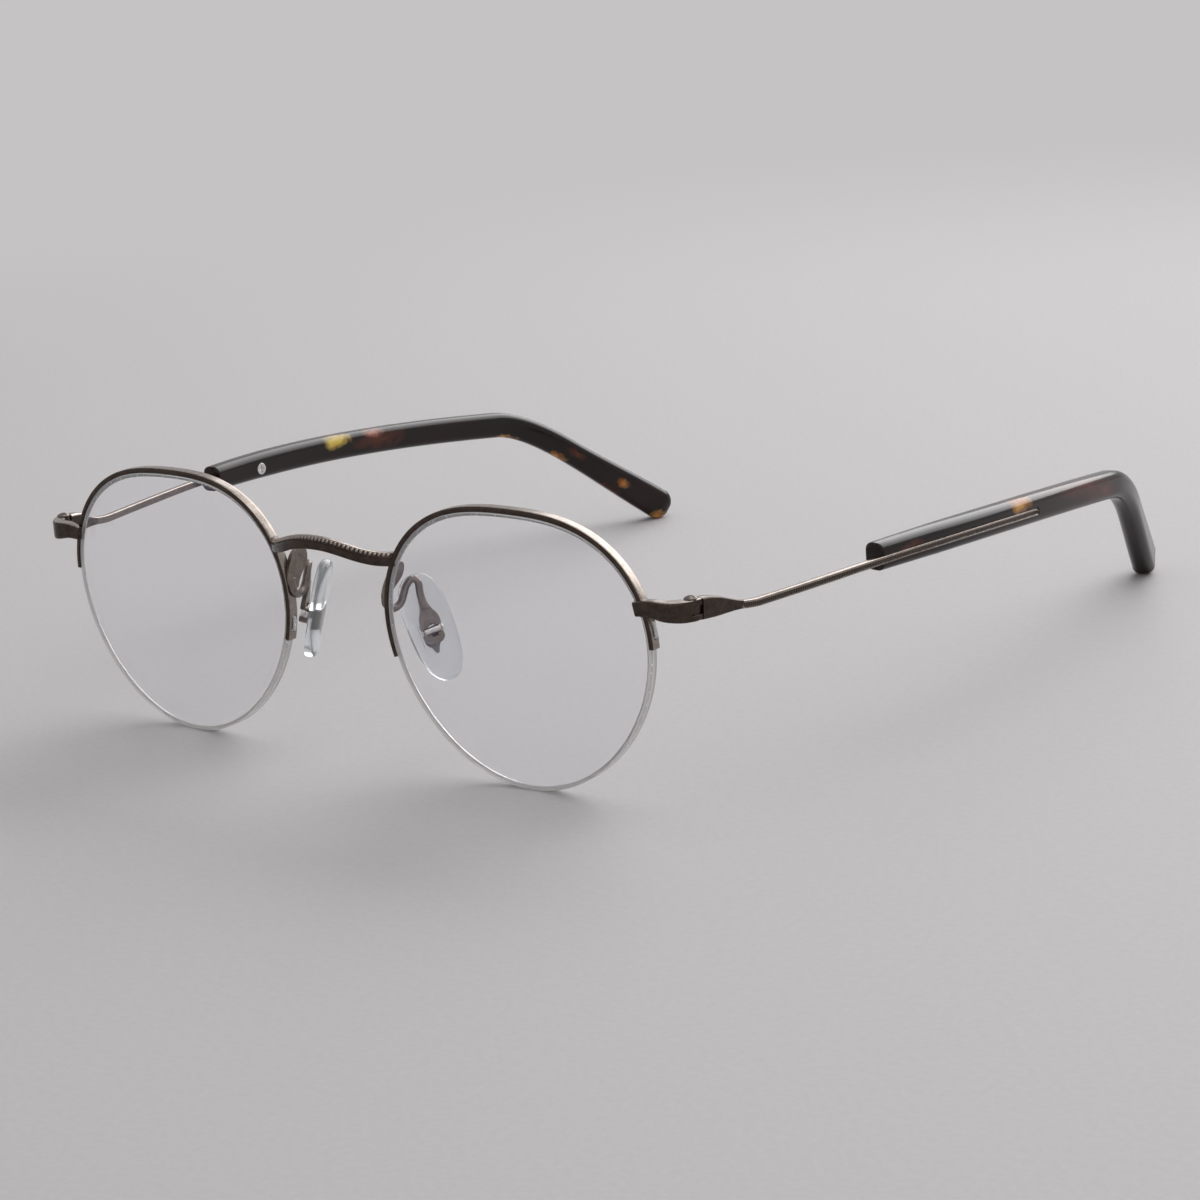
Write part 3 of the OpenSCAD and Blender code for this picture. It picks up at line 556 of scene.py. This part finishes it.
def node_copy(node, name, material):
    src = nodes[node]
    mesh = src.data.copy()
    bm = bmesh.new()
    bm.from_mesh(mesh)
    bmesh.ops.remove_doubles(bm, verts=bm.verts, dist=WELD)
    bmesh.ops.dissolve_limit(bm, angle_limit=FLAT, verts=bm.verts, edges=bm.edges)
    bm.to_mesh(mesh)
    bm.free()
    mesh.materials.clear()
    mesh.materials.append(material)
    obj = added(name, mesh)
    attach(obj, src["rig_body"])
    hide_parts(node)
    return obj


def bevel(obj, width):
    modify(obj, "BEVEL", width=width * MM, segments=2, limit_method="ANGLE",
           angle_limit=math.radians(30))
    bake(obj)
    shade(obj, 40)


def bevelled(node, name, material, width):
    bevel(node_copy(node, name, material), width)


def moulded(node, name, material, voxel, rounds):
    obj = node_copy(node, name, material)
    modify(obj, "REMESH", mode="VOXEL", voxel_size=voxel * MM)
    modify(obj, "SMOOTH", factor=0.5, iterations=rounds)
    bake(obj)
    shade(obj, 60)
    return obj


# Lenses: clear faces, and a ground edge with the groove of the cord
def lens_piece(side_name, side):
    n = 288
    middle = math.sqrt(LENS_SPHERE ** 2 - LENS_R ** 2)

    def front(u, v):
        return middle - math.sqrt(LENS_SPHERE ** 2 - u * u - v * v)

    def back(u, v):
        return middle - math.sqrt((LENS_SPHERE - LENS_T) ** 2 - u * u - v * v)

    def ring(depth, off=0, share=1):
        outline = (edge(360 * j / n, off) * share for j in range(n))
        return [beside_lens(u, depth(u, v), v) for u, v in outline]

    shares = (0.12, 0.3, 0.5, 0.7, 0.85, 0.95)
    w = GROOVE_W / 2
    half = [(0, w + 0.04), (-0.06, w - 0.02), (-0.7 * GROOVE_D, 0.8 * w), (-GROOVE_D, 0.35 * w)]
    groove = [(off, GROOVE_Y - y) for off, y in half]
    groove += [(off, GROOVE_Y + y) for off, y in reversed(half)]
    rings = [ring(front, share=k) for k in shares] + [ring(front, -LENS_BEVEL)]
    ground_from = len(rings) - 1
    rings.append(ring(lambda u, v: front(u, v) + LENS_BEVEL))
    for off, y in groove:
        rings.append(ring(lambda u, v: y, off))
    rings += [ring(lambda u, v: back(u, v) - LENS_BEVEL), ring(back, -LENS_BEVEL)]
    ground_to = len(rings) - 1
    rings += [ring(back, share=k) for k in reversed(shares)]
    verts = [p for r in rings for p in r]
    faces, kinds = [], []
    for i in range(len(rings) - 1):
        for j in range(n):
            k = (j + 1) % n
            faces.append((i * n + j, (i + 1) * n + j, (i + 1) * n + k, i * n + k))
            kinds.append(1 if ground_from <= i < ground_to else 0)
    first, last = len(verts), (len(rings) - 1) * n
    verts += [beside_lens(0, front(0, 0), 0), beside_lens(0, back(0, 0), 0)]
    for j in range(n):
        k = (j + 1) % n
        faces += [(first, j, k), (first + 1, last + k, last + j)]
        kinds += [0, 0]
    obj = new_piece("clear_lens_" + side_name, verts, faces, side, "front",
                    [LENS, LENS_EDGE], angle=35)
    paint(obj, kinds)
    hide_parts("lens_" + side_name)


# Half rims with rounded edges, a channel inside and the holes of the cord
def rim_piece(side_name, side):
    steps, chamfer, r = 220, 0.08, 0.3
    y0, y1 = GROOVE_Y - RIM_DEPTH / 2, GROOVE_Y + RIM_DEPTH / 2
    low, high, floor_d = GROOVE_Y - GROOVE_W / 2, GROOVE_Y + GROOVE_W / 2, RIM_IN + CHANNEL
    quarter = np.radians(range(0, 91, 18))
    x = RIM_OUT - r
    sec = [(RIM_IN, y0 + chamfer), (RIM_IN + chamfer, y0)]
    sec += [(x + r * math.sin(a), y0 + r - r * math.cos(a)) for a in quarter]
    sec += [(RIM_OUT, y0 + RIM_DEPTH * k) for k in (0.35, 0.65)]
    sec += [(x + r * math.cos(a), y1 - r + r * math.sin(a)) for a in quarter]
    sec += [(RIM_IN + chamfer, y1), (RIM_IN, y1 - chamfer), (RIM_IN, high), (floor_d, high),
            (floor_d, low), (RIM_IN, low)]
    turns = [RIM_A0 + (RIM_A1 - RIM_A0) * i / steps for i in range(steps + 1)]
    verts, faces = skin([[beside(t, d, y) for d, y in sec] for t in turns])
    obj = new_piece("half_rim_" + side_name, verts, faces, side, "front",
                    [METAL, HIGHLIGHT_BRONZE])
    # Faces of the outer side of the rim get the painted highlight bronze, as if lit from above; the
    # front stays dark bronze
    following = sec[1:] + sec[:1]
    highlight_band = [1 if min(p[0], q[0]) > RIM_OUT - 0.12 else 0 for p, q in zip(sec, following)]
    paint(obj, highlight_band * steps + [0, 0])
    cutters = []
    for t in HOLES:
        ends = [beside(t, -0.6, GROOVE_Y), beside(t, RIM_T + 1, GROOVE_Y)]
        cutters.append(cutter(*tube(ends, HOLE_R, 24, BACK), side))
    cut(obj, cutters, 40)
    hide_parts("rim_" + side_name)


# Lens cords: out through one hole by each rim end, over the rim, and in through the next
def cord_piece(side_name, side):
    over, low = RIM_OUT + CORD_R, -CORD_SINK - CORD_R
    t1, t2 = HOLES[:2]
    n1, n2 = (a - 360 for a in HOLES[2:])

    def loop(last, following, s):
        return [(following, 0.1), (following, over - 0.25), (following + 0.35 * s, over - 0.04),
                (following + s, over), (last - s, over), (last - 0.35 * s, over - 0.04),
                (last, over - 0.25), (last, 0.1), (last + 0.3 * s, low + 0.1)]

    path = loop(t1, t2, -1)
    path += [(t1 - 1 + (n1 + 2 - t1) * i / 90, low) for i in range(91)]
    path += loop(n1, n2, 1)[::-1]
    verts, faces = tube([beside(t, d, GROOVE_Y) for t, d in path], CORD_R, 12, BACK)
    obj = new_piece("nylon_cord_" + side_name, verts, faces, side, "front", [NYLON],
                    angle=35)
    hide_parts("lens_cord_" + side_name)


# Bridge: a bowed strip with a groove and a row of beads on its upper front
def bridge_path():
    steps = 120
    seat = max(t for t in range(130, 180) if edge(t, RIM_OUT)[1] >= BRIDGE_Z)
    end = beside(seat, RIM_OUT, GROOVE_Y)
    half = end[0] + 0.15
    path = []
    for i in range(steps + 1):
        s = 2 * i / steps - 1
        rise = BRIDGE_RISE * (1 + math.cos(math.pi * abs(s) ** 1.2)) / 2
        path.append(np.array([s * half, end[1] - BRIDGE_BOW * (1 - abs(s) ** 2.6),
                              BRIDGE_Z + rise]))
    return path


def bridge_piece():
    path = bridge_path()
    a, b = BRIDGE_T / 2, BRIDGE_H / 2
    sec = [(a - 0.3, -b), (a - 0.09, 0.09 - b), (a, 0.3 - b), (a, -0.2), (a, 0.12),
           (a - 0.04, 0.18), (a - 0.2, 0.2), (a - 0.24, 0.3), (a - 0.28, 0.36), (a - 0.3, b - 0.3),
           (a - 0.33, b - 0.12), (a - 0.42, b - 0.02), (0, b + 0.02), (0.3 - a, b),
           (0.09 - a, b - 0.09), (-a, b - 0.3), (-a, 0), (-a, 0.3 - b), (0.09 - a, 0.09 - b),
           (0.3 - a, -b)]
    verts, faces = skin(rings_along(path, [sec] * len(path)))
    obj = new_piece("bridge_strip", verts, faces, 1, "front", [METAL, HIGHLIGHT_BRONZE],
                    angle=32)
    # Faces along the top of the bridge get the painted highlight bronze
    following = sec[1:] + sec[:1]
    top = [1 if min(p[1], q[1]) > b - 0.15 else 0 for p, q in zip(sec, following)]
    paint(obj, top * (len(path) - 1) + [0, 0])
    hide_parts("bridge")
    bead_row(path)


def bead_row(path):
    lengths = [0.0]
    for p, q in zip(path, path[1:]):
        lengths.append(lengths[-1] + float(np.linalg.norm(q - p)))
    count = int(lengths[-1] / BEAD_STEP)
    bm = bmesh.new()
    for k in range(2, count - 1):
        d = lengths[-1] * (k + 0.5) / count
        i = max(j for j in range(len(path) - 1) if lengths[j] <= d)
        f = (d - lengths[i]) / (lengths[i + 1] - lengths[i])
        t = unit(path[i + 1] - path[i])
        l, v = across(t)
        c = path[i] * (1 - f) + path[i + 1] * f
        c = c + l * (BRIDGE_T / 2 - BEAD_IN) + v * (BRIDGE_H / 2 - BEAD_LOW)
        turn = Matrix((Vector(t), Vector(l), Vector(v))).transposed()
        for q in bmesh.ops.create_icosphere(bm, subdivisions=2, radius=BEAD_R)["verts"]:
            p = turn @ Vector((q.co.x * 1.04, q.co.y * 0.95, q.co.z))
            q.co = stood(np.array(p) + c)
    mesh = bpy.data.meshes.new("bridge_beads")
    bm.to_mesh(mesh)
    bm.free()
    # The beads are in the painted highlight bronze
    mesh.materials.append(HIGHLIGHT_BRONZE)
    beads = added("bridge_beads", mesh)
    shade(beads, 80)
    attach(beads, "front")


# Bars that thin from the hinge root to a flat wire with a milled line, rounded at the end
def bar_piece(side_name, side):
    end = TIP_FRONT + SLOT_LEN
    root_end, round_from = BAR_START + ROOT_LEN, end - BAR_ROUND
    places = [BAR_START + ROOT_LEN * i / 24 for i in range(25)]
    places += [root_end + (round_from - root_end) * i / 120 for i in range(1, 121)]
    places += [round_from + BAR_ROUND * q for q in (0.25, 0.5, 0.7, 0.85, 0.95, 1)]
    secs = []
    for b in places:
        s = (b - BAR_START) / ROOT_LEN
        q = max(0.0, (b - round_from) / BAR_ROUND)
        w = HINGE_W + (BAR_T - HINGE_W) * smooth01(s)
        h = HINGE_H + (BAR_H - HINGE_H) * smooth01(min(1.0, s) ** 1.35)
        h *= math.sqrt(1.02 - q * q)
        g = MILLED_D * smooth01((b - root_end + 1.6) / 1.8) * (1 - smooth01(q * 1.6))
        k = min(1.0, h / BAR_H)
        groove = [(w / 2, -0.4 * k), (w / 2 - g, -0.29 * k), (w / 2 - g, 0.2 * k),
                  (w / 2, 0.27 * k)]
        secs.append(soft_box(w, h, min(w, h) * 0.2, 4) + groove)
    verts, faces = skin(rings_along([bar_centre(b) for b in places], secs))
    obj = new_piece("bar_" + side_name, verts, faces, side, "temple_" + side_name,
                    [BAR_METAL, METAL, MILLED, HIGHLIGHT_BRONZE], angle=32)
    n = len(secs[0])
    # Faces that face up get the painted highlight bronze: the top, the outer side above the milled
    # line and the line's lower wall; at the root only the top
    lit = {n - 4, n - 1, *range(9)}

    def kind(j, root):
        if j in lit and (not root or 3 < j < 9):
            return 3
        if root:
            return 1
        return 2 if j == n - 3 else 0

    kinds = [kind(j, b < root_end - 0.6) for b in places[:-1] for j in range(n)]
    paint(obj, kinds + [1, 0])


# Tips with a cupped front end, an open slot for the bar that ends round, and the screw bore
def tip_piece(side_name, side):
    slot_end = TIP_FRONT + SLOT_LEN + SLOT_GAP
    round_from = slot_end - SLOT_ROUND
    middle, half = -TIP_LIFT, BAR_H / 2 + SLOT_GAP
    # Stations: place, width, height, how far the outline is drawn in, opening of the slot
    cup = ((0.9, 0.62), (0.12, 0.7), (0.0, 0.78), (0.0, 0.93), (0.1, 0.985))
    stations = [(tip_station(TIP_FRONT + d), *TIP_SIZES[0], k, 1.0) for d, k in cup]
    slotted, solid = [], []
    for p, (w, h) in zip(TIP_PATH, TIP_SIZES):
        b = p[1] - HINGE[1]
        if TIP_FRONT + 0.25 < b < round_from:
            slotted.append((p, w, h, 1.0, 1.0))
        elif b > slot_end + 0.1:
            solid.append((p, w, h, 1.0, 0.0))
    stations += slotted
    for q in (0.02, 0.3, 0.55, 0.75, 0.9, 0.97, 1):
        place = tip_station(round_from + SLOT_ROUND * q)
        stations.append((place, TIP_W, TIP_H, 1.0, math.sqrt(1 - q * q)))
    stations += solid
    secs = []
    for p, w, h, k, opening in stations:
        r = min(w, h) * 0.36 * k
        x, y = w * k / 2, h * k / 2
        if opening > 0:
            floor_x, lip = w / 2 - BAR_T - 0.15, 0.07
            low = max(middle - half * opening, r + 0.08 - y)
            high = min(middle + half * opening, y - r - 0.08)
        else:
            floor_x, lip, low, high = x, 0.0, middle - 0.02, middle + 0.02
        slot = [(x, low - 0.07), (x - lip, low), (floor_x, low), (floor_x, high),
                (x - lip, high), (x, high + 0.07)]
        secs.append(soft_box(w * k, h * k, r, 7) + slot)
    verts, faces = skin(rings_along([q[0] for q in stations], secs))
    obj = new_piece("acetate_tip_" + side_name, verts, faces, side, "temple_" + side_name,
                    [ACETATE])
    at_screw = TIP_FRONT + TIP_SCREW
    x, y, _ = tip_station(at_screw)
    a = np.array([x - TIP_W / 2 - 1, y, bar_centre(at_screw)[2]])
    bore = tube([a, a + np.array([1.6, 0, 0])], TIP_BORE_R, 32)
    cut(obj, [cutter(*bore, side)], 40)
    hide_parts("temple_tip_" + side_name)


# Nose pads of clear silicone, with the pocket of the box in their back
def pad_piece(side_name, side):
    n = 96
    levels = ((1.2, 0), (0.5, 0), (0.22, 0.12), (0.07, 0.35), (0, 0.65), (0, 1.1), (0.1, 1.4),
              (0.3, 1.66), (0.7, 1.87), (1.2, 1.97), (1.7, PAD_T))
    rings = [[at_pad(*pad_edge(360 * j / n, d), PAD_BACK + z) for j in range(n)] for d, z in levels]
    verts, faces = skin(rings)
    obj = new_piece("clear_pad_" + side_name, verts, faces, side,
                    "nose_pad_" + side_name + "_body", [SILICONE], angle=60)
    pocket = box_cutter(at_pad, (-POCKET_HALF, POCKET_HALF), (POCKET_LOW, POCKET_TOP),
                        (-1, 1.32), side)
    cut(obj, [pocket], 50)
    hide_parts("nose_pad_" + side_name)
    bevelled("pad_core_" + side_name, "pad_insert_" + side_name, INSERT, 0.1)


# Pad arms, with the slot across the box that shows the pad screw
def arm_piece(side_name, side):
    obj = moulded("pad_arm_" + side_name, "bent_arm_" + side_name, ARM_METAL,
                  0.065, 8)
    cut(obj, [box_cutter(at_pad, (-1.9, 1.9), (-0.6, 0.62), (-1.4, -0.05), side)], 50)


# Pad screws: a slotted head, a ridged shank and a rounded end, by place across the pad and radius
def pad_bolt_piece(side_name, side):
    profile = [(-1.745, 0.3), (-1.74, 0.42), (-1.69, 0.54), (-1.6, 0.6), (-1.5, 0.6),
               (-1.43, 0.55), (-1.42, 0.4)]
    profile += [(-1.26 + 0.11 * i, 0.82 if i % 2 else 0.77) for i in range(24)]
    profile += [(1.42, 0.4), (1.44, 0.56), (1.56, 0.58), (1.66, 0.48), (1.71, 0.25)]
    verts, faces = skin([[at_pad(s, t, n) for t, n in circle(r, 32)] for s, r in profile])
    obj = new_piece("pad_bolt_" + side_name, verts, faces, side,
                    nodes["pad_screw_" + side_name]["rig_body"], [SCREW])
    slot = box_cutter(lambda t, n, s: at_pad(s, t, n), (-1, 1), (-0.1, 0.1), (-2, -1.6), side)
    cut(obj, [slot], 40)
    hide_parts("pad_screw_" + side_name)


# The front end of each temple keeps its packed knuckle, and the drawn bar starts behind it
def knuckle_piece(side_name, side):
    obj = node_copy("temple_bar_" + side_name, "hinge_root_" + side_name, METAL)
    keep = box_cutter(lambda *p: HINGE + np.array(p), (-4, 4), (-5, 1.5), (-6, 6), side)
    cut(obj, [keep], 40, "INTERSECT")
    bevel(obj, 0.06)


# Endpieces with the outer knuckles; their upward faces get the painted highlight bronze
def lug_piece(side_name):
    obj = moulded("endpiece_" + side_name, "lug_" + side_name, METAL, 0.05, 4)
    obj.data.materials.append(HIGHLIGHT_BRONZE)
    # Faces that point up get the painted highlight bronze, lighter because light falls on them from
    # above
    paint(obj, [1 if f.normal.z > 0.72 else 0 for f in obj.data.polygons])


bridge_piece()
for side_name, side in SIDES:
    lens_piece(side_name, side)
    rim_piece(side_name, side)
    cord_piece(side_name, side)
    arm_piece(side_name, side)
    lug_piece(side_name)
    bevelled("hinge_screw_" + side_name, "hinge_bolt_" + side_name, SCREW_DARK, 0.05)
    pad_bolt_piece(side_name, side)
    bevelled("tip_screw_" + side_name, "tip_bolt_" + side_name, SCREW, 0.06)
    knuckle_piece(side_name, side)
    bar_piece(side_name, side)
    tip_piece(side_name, side)
    pad_piece(side_name, side)
    liner = nodes["rim_liner_" + side_name].data.materials
    liner.clear()
    liner.append(NYLON)


# Camera at the photograph's place: degrees, millimetres in the frame of the front, focal length
def add_camera(azimuth, elevation, roll, dist, target, lens):
    az, el, roll = map(math.radians, (azimuth, elevation, roll))
    back = Vector((math.sin(az) * math.cos(el), -math.cos(az) * math.cos(el), math.sin(el)))
    right = (-back).cross(Vector((0, 0, 1))).normalized()
    up = right.cross(-back)
    x = turned(right * math.cos(roll) + up * math.sin(roll))
    y = turned(up * math.cos(roll) - right * math.sin(roll))
    z = turned(back)
    place = stood(Vector(target) + back * dist)
    cam = bpy.data.cameras.new("camera")
    cam.lens = lens
    cam.sensor_width = 36
    cam.clip_start, cam.clip_end = 0.01, 20
    obj = added("camera", cam)
    obj.matrix_world = Matrix(((x.x, y.x, z.x, place.x), (x.y, y.y, z.y, place.y),
                               (x.z, y.z, z.z, place.z), (0, 0, 0, 1)))
    scene.camera = obj


add_camera(azimuth=40.508, elevation=15.256, roll=-4.978, dist=575.19,
           target=(0.168, 60, -12.536), lens=105)


# Pale floor and background. What the camera, metal and glass see far off is one even backdrop
BACKDROP = (0.56, 0.547, 0.555, 1)
BACKDROP_FROM, BACKDROP_FULL = 0.3, 0.62
FLOOR_HALF = 4.0
WORLD_LIGHT, WORLD_STRENGTH = (0.80, 0.79, 0.80, 1), 0.52


def seen_rays(tree):
    path = tree.nodes.new("ShaderNodeLightPath")
    ray = path.outputs["Is Camera Ray"]
    for kind in ("Is Glossy Ray", "Is Transmission Ray"):
        either = tree.nodes.new("ShaderNodeMath")
        either.operation = "MAXIMUM"
        tree.links.new(ray, either.inputs[0])
        tree.links.new(path.outputs[kind], either.inputs[1])
        ray = either.outputs["Value"]
    return ray


def pick_surface(tree, share, near, far, output):
    pick = tree.nodes.new("ShaderNodeMixShader")
    for socket, source in zip(pick.inputs, (share, near, far)):
        tree.links.new(source, socket)
    tree.links.new(pick.outputs["Shader"], tree.nodes[output].inputs["Surface"])


def add_floor():
    m = Mat("floor_paper")
    v = m.coords()
    f = m.noise(v, 900, 3, 0.6)
    m.set(Base_Color=m.ramp(f, [(0.3, (0.52, 0.505, 0.51)), (0.7, (0.55, 0.535, 0.54))]),
          Roughness=0.7)
    m.bump(f, 0.1, 0.0002)
    far = m.ramp(m.vector("LENGTH", v, out="Value"), [(BACKDROP_FROM, 0.0), (BACKDROP_FULL, 1.0)],
                 "EASE")
    share = m.node("ShaderNodeMath", operation="MULTIPLY")
    m.feed(share.inputs[0], far)
    m.feed(share.inputs[1], seen_rays(m.tree))
    even = m.node("ShaderNodeEmission")
    even.inputs["Color"].default_value = BACKDROP
    pick_surface(m.tree, share.outputs["Value"], m.bsdf.outputs["BSDF"],
                 even.outputs["Emission"], "Material Output")
    mesh = bpy.data.meshes.new("floor")
    s = FLOOR_HALF
    mesh.from_pydata([(-s, -s, 0), (s, -s, 0), (s, s, 0), (-s, s, 0)], [], [(0, 1, 2, 3)])
    mesh.materials.append(m.mat)
    added("floor", mesh)


def add_world():
    world = bpy.data.worlds.new("world")
    scene.world = world
    world.use_nodes = True
    tree = world.node_tree
    light = tree.nodes["Background"]
    light.inputs["Color"].default_value = WORLD_LIGHT
    light.inputs["Strength"].default_value = WORLD_STRENGTH
    seen = tree.nodes.new("ShaderNodeBackground")
    seen.inputs["Color"].default_value = BACKDROP
    seen.inputs["Strength"].default_value = 1.0
    pick_surface(tree, seen_rays(tree), light.outputs["Background"], seen.outputs["Background"],
                 "World Output")


LAMP_AIM = Vector((0, 0, 0.02))


def area(name, place, size, size_y, power, spread=180):
    lamp = bpy.data.lights.new(name, "AREA")
    lamp.shape = "RECTANGLE"
    lamp.size, lamp.size_y = size, size_y
    lamp.energy = power
    lamp.spread = math.radians(spread)
    obj = added(name, lamp)
    obj.location = place
    obj.rotation_euler = (Vector(place) - LAMP_AIM).to_track_quat("Z", "Y").to_euler()
    obj.visible_camera = False


add_floor()
add_world()
area("back", (0, 1.2, 0.78), 2.0, 0.9, 6.5, spread=100)
area("top", (0.1, 0.2, 0.85), 0.6, 0.6, 1.6)
area("fill", (0.7, -0.6, 0.4), 0.5, 0.5, 0.3)

scene.view_settings.view_transform = "Standard"
